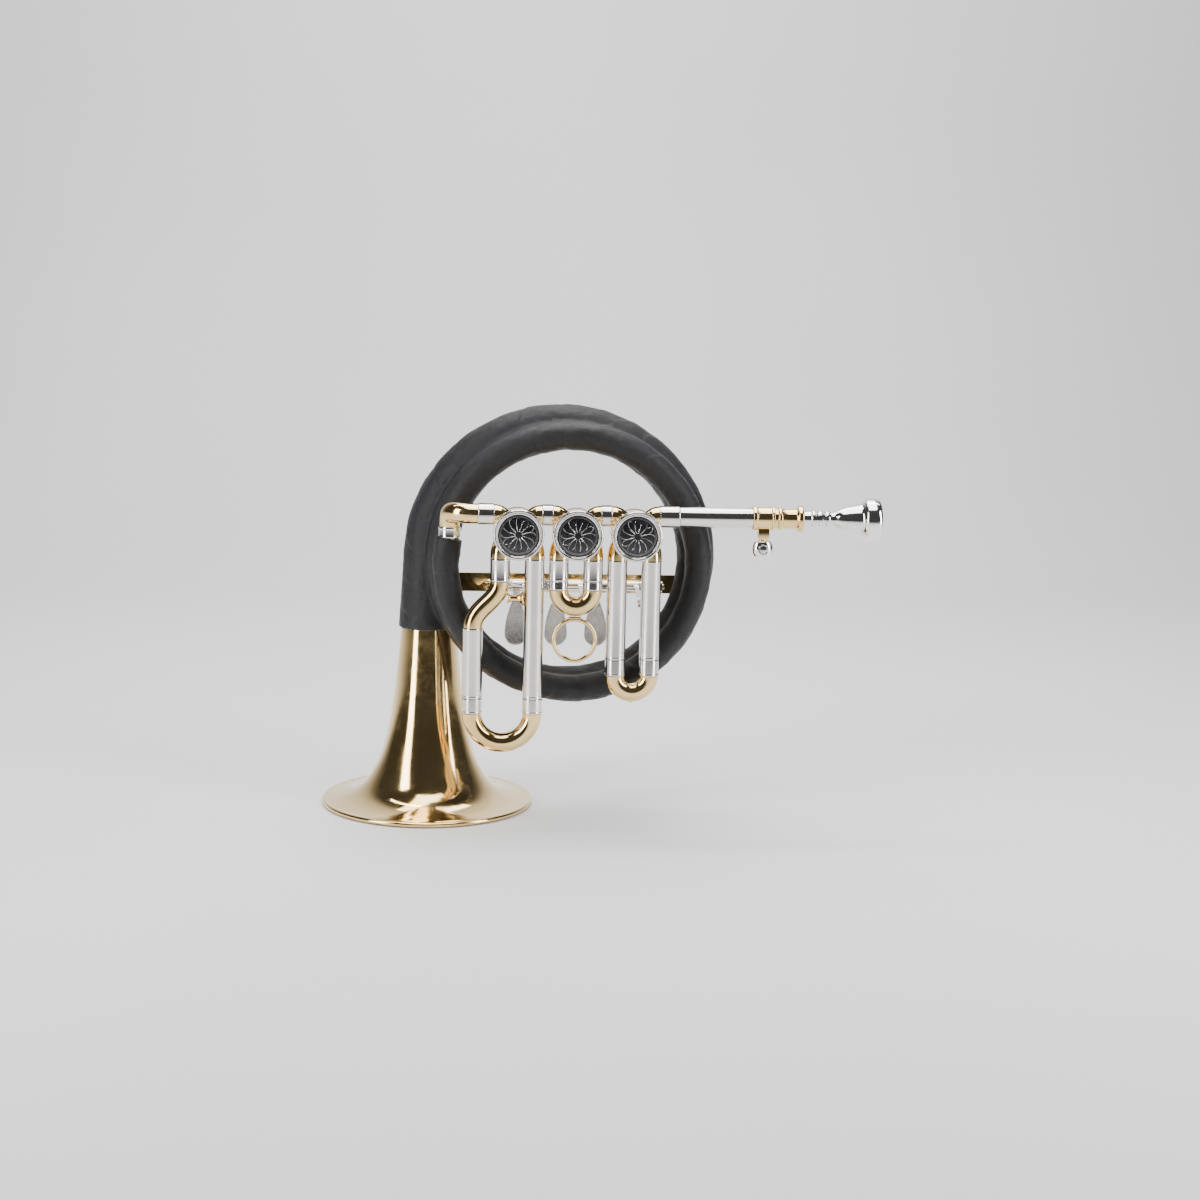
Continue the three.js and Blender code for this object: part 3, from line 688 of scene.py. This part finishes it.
def make_slide_trim():
    """The first slide's S-shaped tube and brace, and the second slide's finger ring."""
    upper, top = VALVE_X[0] - LEG, 149.8
    stub = sleeve(upper, top + GAP, KNUCKLE_END - GAP)
    piece("slide_1_upper_drawn", *stub, NICKEL, "horn", ["slide_1_sleeve_upper"])
    lower, end = SLIDES[0]["left"], 121.3
    reach = 13
    bend = bezier((upper, MAIN_Y, top), (upper, MAIN_Y, top - reach), (lower, MAIN_Y, end + reach),
                  (lower, MAIN_Y, end), 48)
    bent = swept(bend, LEG_R, LEG_BORE, 48, (0, 1, 0))
    piece("slide_1_s_bend", *bent, BRASS, "horn", ["slide_1_offset_tube"])
    a, b = upper + 4.4, SLIDES[0]["right"] - SLEEVE_R - GAP
    outline = [(0, a), (3.6, a), (3.3, a + 0.6), (2.3, a + 1.6), (2.0, a + 3.4), (2.1, b - 3.6),
               (2.8, b - 2.2), (4.4, b - 0.8), (4.6, b), (0, b)]
    brace = spun(outline, "x", (0, MAIN_Y, 139.5), 48, 0.3)
    piece("slide_1_brace_turned", *brace, BRASS, "horn", ["slide_1_brace"])

    low = SLIDES[1]["crook"] - LEG - SLEEVE_R + 0.2
    ring_r, wire = 12.7, 1.3
    centre = Vector((VALVE_X[1], MAIN_Y, low - 0.7 - ring_r - wire))
    ring = closed_ring(centre, ring_r, wire, 2.2)
    foot = block(centre.x - 3.8, centre.x + 3.8, MAIN_Y - 1.1, MAIN_Y + 1.1,
                 centre.z + 12.8, centre.z + 14.4, 0.5)
    piece("slide_2_finger_ring", *joined(ring, foot), BRASS, "slide_2", ["slide_2_pull_ring"])


def closed_ring(centre, radius, wide, deep):
    """A finger ring bent from an oval wire."""
    around, across = 96, 16
    verts, faces = [], []
    for i in range(around):
        a = 2 * math.pi * i / around
        out = Vector((math.sin(a), 0, math.cos(a)))
        for k in range(across):
            b = 2 * math.pi * k / across
            sideways = Vector((0, 1, 0)) * (deep * 0.55 * math.sin(b))
            verts.append(centre + out * (radius + wide * math.cos(b)) + sideways)
    for i in range(around):
        for k in range(across):
            j, m = (i + 1) % around, (k + 1) % across
            faces.append((i * across + k, j * across + k, j * across + m, i * across + m))
    return verts, faces


# ---- Levers and linkage ----
STOP_RADIUS = 8.5
PIN = STOP_RADIUS * math.sqrt(0.5)
STOP_BACK = CASING_BACK + GAP + PLATE_DEPTH + 3.8
LINK_Y = STOP_BACK + 5.2
HALF_TURN = math.radians(12)  # half of the lever's stroke
ARM = STOP_RADIUS * math.sqrt(2) / (2 * math.sin(HALF_TURN))
HINGE_Y = LINK_Y + ARM * math.cos(HALF_TURN)
HINGE_Z = 140.0
LOW_Z = HINGE_Z - ARM * math.sin(HALF_TURN)
HIGH_Z = VALVE_Z - PIN
KEY_X = (55.0, 80.4, 105.8)
KEY_LENGTH, KEY_HALF = 39, 7.2
# Spans along the hinge rod: the levers' hubs, the springs and the bridge's ears.
HUBS = ((50, 63), (76.5, 99), (102.5, 134.5))
SPRINGS = ((40, 49.5), (66.5, 76), (135, 144))
EARS = ((36.5, 39.5), (63.5, 66), (99.5, 102), (144.5, 147.5))


def key_plate(x, low, wide):
    """A spoon-shaped key with a raised edge round a shallow dish."""
    outline = [(2.1, HINGE_Z - 1), (2.2, HINGE_Z - 10)]
    bowl = low + wide
    for i in range(1, 13):
        t = i / 12
        outline.append(((1 - t) ** 2 * 2.2 + 2 * t * (1 - t) * wide + t * t * wide,
                        (1 - t) ** 2 * (HINGE_Z - 10) + 2 * t * (1 - t) * (bowl + 10) + t * t * bowl))
    for i in range(1, 13):
        a = math.pi / 2 * i / 12
        outline.append((wide * math.cos(a), bowl - wide * math.sin(a)))
    loop = outline + [(-u, z) for u, z in reversed(outline[:-1])]
    middle = (0, bowl + 2)
    rings = [(1.0, 2.8), (1.0, 1.3), (0.985, 1.05), (0.94, 1.05), (0.90, 1.35), (0.5, 1.6), (0.05, 1.65)]
    verts, faces = [], []
    for share, y in rings:
        for u, z in loop:
            grow = share if z < HINGE_Z - 9 else min(share + 0.3, 1.0)
            verts.append((x + u * grow, HINGE_Y + y, middle[1] + (z - middle[1]) * share))
    size = len(loop)
    for k in range(len(rings) - 1):
        for i in range(size):
            j = (i + 1) % size
            faces.append((k * size + i, k * size + j, (k + 1) * size + j, (k + 1) * size + i))
    faces.append(tuple(range(size)))
    faces.append(tuple(reversed(range((len(rings) - 1) * size, len(rings) * size))))
    return verts, faces


def make_lever(n):
    """One valve's lever with its key, its link, its stop arm and its return spring."""
    link_x = VALVE_X[n] + PIN
    a, b = HUBS[n]
    hub = [(1.85, a), (3.2, a), (3.4, a + 0.4), (3.4, a + 1.6), (3.0, a + 2.2), (3.0, b - 2.2),
           (3.4, b - 1.6), (3.4, b - 0.4), (3.2, b), (1.85, b)]
    parts = [spun(hub, "x", (0, HINGE_Y, HINGE_Z), 48, 0.2)]
    arm_verts, arm_faces = block(-1.4, 1.4, -ARM + 2, -2.4, -1.9, 1.9, 0.5)
    lean = Matrix.Rotation(HALF_TURN, 3, "X")
    arm_verts = [lean @ Vector(v) + Vector((link_x, HINGE_Y, HINGE_Z)) for v in arm_verts]
    parts.append((arm_verts, arm_faces))
    parts.append(collar(2.9, 0.9, link_x - 1.4, link_x + 1.4, "x", (0, LINK_Y, LOW_Z), 0.3, 40))
    lever = f"lever_{n + 1}"
    piece(f"{lever}_forged", *joined(*parts), SILVER, lever, [lever])
    piece(f"{lever}_key", *key_plate(KEY_X[n], HINGE_Z - KEY_LENGTH, KEY_HALF), KEY, lever, [lever])

    low, high = LOW_Z + 2, HIGH_Z - 2
    rod = spun([(0, low), (1.3, low), (1.3, high), (0, high)], "z", (link_x + 3, LINK_Y, 0), 24, 0.3)
    outline = [(0, LINK_Y - 1.6), (2.6, LINK_Y - 1.6), (3.2, LINK_Y - 0.9), (3.2, LINK_Y + 0.9),
               (2.6, LINK_Y + 1.6), (0, LINK_Y + 1.6)]
    top = spun(outline, "y", (link_x, 0, HIGH_Z), 40, 0.3)
    neck = block(link_x - 1, link_x + 4.2, LINK_Y - 1.3, LINK_Y + 1.3, HIGH_Z - 3.6, HIGH_Z - 1.2, 0.4)
    outline = [(0, link_x + 1.8), (2.7, link_x + 1.8), (3.1, link_x + 2.3), (3.1, link_x + 3.9),
               (2.6, link_x + 4.4), (0, link_x + 4.4)]
    foot = spun(outline, "x", (0, LINK_Y, LOW_Z), 40, 0.3)
    piece(f"link_{n + 1}_rod", *joined(rod, top, neck, foot), SILVER, f"link_{n + 1}", [f"link_{n + 1}"])

    at = Vector((VALVE_X[n], 0, VALVE_Z))
    arm_front = CASING_BACK + GAP + PLATE_DEPTH + 0.5
    stop_hub = collar(5.2, 3.3, arm_front, STOP_BACK, "y", at, 0.4, 56)
    bar_verts, bar_faces = block(4, STOP_RADIUS, arm_front, STOP_BACK, -1.9, 1.9, 0.5)
    turn = Matrix.Rotation(math.pi / 4, 3, "Y")
    bar = ([turn @ Vector(v) + at for v in bar_verts], bar_faces)
    outline = [(0, arm_front), (2.1, arm_front), (2.1, STOP_BACK + 1), (1.5, STOP_BACK + 1.4),
               (1.5, STOP_BACK + 2.6), (2.0, STOP_BACK + 3), (2.0, STOP_BACK + 3.3), (0, STOP_BACK + 3.3)]
    stud = spun(outline, "y", at + Vector((PIN, 0, -PIN)), 32, 0.2)
    arm = joined(stop_hub, bar, stud)
    piece(f"stop_arm_{n + 1}_cut", *arm, SILVER, f"rotor_{n + 1}", [f"stop_arm_{n + 1}"])

    a, b = SPRINGS[n]
    turns, steps, coil_r = 5, 24, 3.1
    wire = []
    for i in range(turns * steps + 1):
        t = i / (turns * steps)
        angle = 2 * math.pi * turns * t
        wire.append((a + 1 + (b - a - 2) * t, HINGE_Y + coil_r * math.cos(angle),
                     HINGE_Z + coil_r * math.sin(angle)))
    spring = swept(wire, 0.55, None, 10)
    piece(f"return_spring_{n + 1}_wire", *spring, STEEL, "horn", [f"return_spring_{n + 1}"])


def make_lever_frame():
    """The hinge rod and the bridge that carries it on the coil."""
    a, b = EARS[0][0] - 1.5, EARS[3][1] + 1.5
    rod = [(0, a), (1.4, a), (1.7, a + 0.4), (1.7, b - 0.4), (1.4, b), (0, b)]
    piece("hinge_rod_ground", *spun(rod, "x", (0, HINGE_Y, HINGE_Z), 32, 0.2), STEEL, "horn", ["hinge_rod"])
    deck = block(16.2, 171, HINGE_Y + 7, HINGE_Y + 9, HINGE_Z - 5.5, HINGE_Z + 6.5, 0.6)
    foot = block(161, 171, 1.2, HINGE_Y + 7.5, HINGE_Z - 5, HINGE_Z + 6, 0.6)
    ears = [block(p, q, HINGE_Y + 1.9, HINGE_Y + 7.5, HINGE_Z - 3.6, HINGE_Z + 3.6, 0.3) for p, q in EARS]
    eyes = [collar(3.6, 2.0, p, q, "x", (0, HINGE_Y, HINGE_Z), 0.3, 40) for p, q in EARS]
    piece("lever_bridge_plate", *joined(deck, foot, *ears, *eyes), BRASS, "horn", ["lever_bridge"])


# ---- Mouth end ----
def make_mouth_end():
    """The leadpipe, its split clamp and thumbscrew, the receiver and the mouthpiece."""
    clamp_x = 203
    start = VALVE_X[2] + STUB + FERRULE + GAP
    leadpipe = collar(TUBE_R, 5.75, start, 208.6, "x", LINE, 0.2, 64)
    piece("leadpipe_drawn", *leadpipe, NICKEL, "horn", ["leadpipe"])
    band = [(6.5, 196), (7.4, 196), (7.6, 196.3), (7.6, 198.1), (7.4, 198.4), (6.95, 198.8), (6.95, 207.2),
            (7.4, 207.5), (7.6, 207.8), (7.6, 208.8), (7.4, 209), (6.5, 209)]
    lugs = [block(clamp_x - 3.4, clamp_x + 3.4, MAIN_Y + near, MAIN_Y + far, MAIN_Z - 12.2, MAIN_Z - 6.4, 0.6)
            for near, far in ((-3.2, -0.45), (0.45, 3.2))]
    piece("clamp_split", *joined(spun(band, "x", LINE, 72, 0.2), *lugs), BRASS, "horn", ["receiver_clamp"])
    at = (clamp_x, MAIN_Y, MAIN_Z)
    knob = [(0, -24.4), (3.0, -24.3), (5.0, -23.2), (6.0, -21.4), (6.2, -18.9), (6.0, -16.2), (4.9, -14.2),
            (2.8, -13.0), (2.2, -12.6), (0, -12.6)]
    verts, faces = spun(knob, "z", (0, 0, 0), 64, 0.3)
    flattened = [Vector((v.x, v.y * 0.62, v.z)) + Vector(at) for v in verts]
    stem = spun([(0, -14), (1.6, -14), (1.6, -7.4), (1.3, -7.2), (0, -7.2)], "z", at, 32, 0.2)
    eye = collar(3.3, 2.5, -4.15, -3.7, "y", (clamp_x, MAIN_Y + 0.2, MAIN_Z - 18.8), 0.15, 48)
    screw = joined((flattened, faces), stem, eye)
    piece("thumbscrew_turned", *screw, SILVER, "clamp_thumbscrew", ["clamp_thumbscrew"])

    shank = [(4.75, 172), (5.3, 172), (5.4, 172.4), (5.4, 209.3), (6.2, 209.3), (6.2, 211.2), (6.9, 211.7),
             (7.1, 212.2), (7.1, 213.2), (6.9, 213.7), (6.2, 214.2), (6.2, 222.6), (6.5, 223.0),
             (7.9, 223.5), (8.2, 224.0), (8.2, 226.2), (7.9, 226.6), (7.0, 227.0), (5.1, 227.0), (4.75, 225)]
    piece("receiver_turned", *spun(shank, "x", LINE, 88, 0.2), BRASS, "receiver", ["receiver"])

    m = 227.4  # where the mouthpiece leaves the receiver
    end = 274.2
    outside = [(3.9, 203.5), (4.3, 203.5), (4.5, m - 0.2), (4.8, m), (4.8, m + 3.6), (5.0, m + 4.4),
               (5.7, m + 5.0), (5.8, m + 5.8), (5.7, m + 6.6), (4.9, m + 7.2), (4.8, m + 8.4),
               (5.6, m + 9.0), (5.7, m + 9.9), (5.6, m + 10.8), (4.7, m + 11.4), (4.6, m + 12.8),
               (5.4, m + 13.5), (5.5, m + 14.2), (5.4, m + 15), (4.5, m + 15.8), (4.3, m + 17.2)]
    bowl = smooth_profile([(4.3, m + 17.2), (4.9, m + 19), (6.6, m + 22), (7.9, m + 25.5), (8.8, m + 29.5),
                           (9.6, m + 33.2), (10.6, m + 35.4), (12.2, m + 36.8), (13.1, m + 38.2),
                           (13.3, m + 40.5), (13.4, m + 43.5), (13.0, m + 45.3), (12.2, m + 46.4),
                           (11.2, end)], 48)
    cup = smooth_profile([(11.2, end), (9.6, end - 0.1), (8.8, m + 45.6), (8.4, m + 43), (8.0, m + 39.5),
                          (7.2, m + 35.5), (5.6, m + 32), (3.4, m + 29.2), (2.0, m + 27.2),
                          (1.9, m + 25)], 36)
    backbore = [(2.2, m + 18), (3.2, m - 6), (3.6, 203.5)]
    outline = outside + bowl[1:] + cup[1:] + backbore
    turned = spun(outline, "x", LINE, 112, 0.0)
    piece("mouthpiece_turned", *turned, SILVER, "mouthpiece", ["mouthpiece"], sharp=40)


for index in range(3):
    make_slide(index)
    make_lever(index)
make_slide_trim()
make_lever_frame()
make_mouth_end()


# ---- Stage, lights and camera ----
def make_stage():
    """A pale floor that curves up into a wall behind the horn, in metres."""
    floor = Nodes("pale_floor", (0.80, 0.80, 0.80), 0.0, 0.72)
    tint = floor.ramp(floor.noise(2.0, 3), [(0.3, (0.77, 0.77, 0.775)), (0.7, (0.81, 0.81, 0.81))])
    floor.set(floor.shader, "Base Color", tint)
    verts, faces = [], []
    depth, curve, steps = 0.9, 0.6, 12
    profile = [(-3.0, 0.0), (depth, 0.0)]
    for i in range(1, steps + 1):
        a = math.pi / 2 * i / steps
        profile.append((depth + curve * math.sin(a), curve - curve * math.cos(a)))
    profile.append((depth + curve, 3.2))
    for x in (-4.0, 4.2):
        verts += [(x, y, z - 0.0005) for y, z in profile]
    rows = len(profile)
    for i in range(rows - 1):
        faces.append((i, i + 1, rows + i + 1, rows + i))
    mesh = bpy.data.meshes.new("backdrop")
    mesh.from_pydata(verts, [], faces)
    mesh.polygons.foreach_set("use_smooth", [True] * len(mesh.polygons))
    mesh.materials.append(floor.material)
    stage = bpy.data.objects.new("backdrop", mesh)
    bpy.context.scene.collection.objects.link(stage)


def area(name, place, aim, size, power):
    """A rectangular lamp at place, turned to aim."""
    data = bpy.data.lights.new(name, "AREA")
    data.shape = "RECTANGLE"
    data.size, data.size_y = size
    data.energy = power
    lamp = bpy.data.objects.new(name, data)
    lamp.location = place
    lamp.rotation_euler = (Vector(aim) - Vector(place)).to_track_quat("-Z", "Y").to_euler()
    bpy.context.scene.collection.objects.link(lamp)


def make_lights():
    """A strip on each side, a box overhead and a wash on the wall, under a dim sky."""
    world = bpy.data.worlds.new("studio")
    world.use_nodes = True
    background = world.node_tree.nodes["Background"]
    background.inputs["Color"].default_value = (0.5, 0.5, 0.52, 1)
    background.inputs["Strength"].default_value = 0.12
    bpy.context.scene.world = world
    middle = (0.09, -0.02, 0.14)
    area("left_strip", (-0.80, -0.62, 0.32), middle, (0.30, 1.3), 15)
    area("right_strip", (1.00, -0.58, 0.34), middle, (0.30, 1.3), 15)
    area("top_box", (0.10, 0.10, 1.25), (0.09, 0.1, 0.0), (1.5, 0.8), 24)
    area("backdrop_wash", (0.10, 0.35, 1.7), (0.1, 1.5, 0.7), (2.2, 0.3), 24)


def make_camera(azimuth, elevation, roll, distance, target, lens):
    """A camera that looks at target from a distance in metres, through a lens in millimetres."""
    az, el = math.radians(azimuth), math.radians(elevation)
    back = Vector((math.sin(az) * math.cos(el), -math.cos(az) * math.cos(el), math.sin(el)))
    data = bpy.data.cameras.new("camera")
    data.sensor_width = 36
    data.lens = lens
    data.clip_start = 0.01
    camera = bpy.data.objects.new("camera", data)
    camera.location = Vector(target) + back * distance
    turn = (-back).to_track_quat("-Z", "Y").to_matrix() @ Matrix.Rotation(math.radians(roll), 3, "Z")
    camera.rotation_euler = turn.to_euler()
    bpy.context.scene.collection.objects.link(camera)
    bpy.context.scene.camera = camera


make_stage()
make_lights()
make_camera(-4.2, 8.8, 1.35, 1.2, (0.1070, -0.015, 0.1335), 57.36)
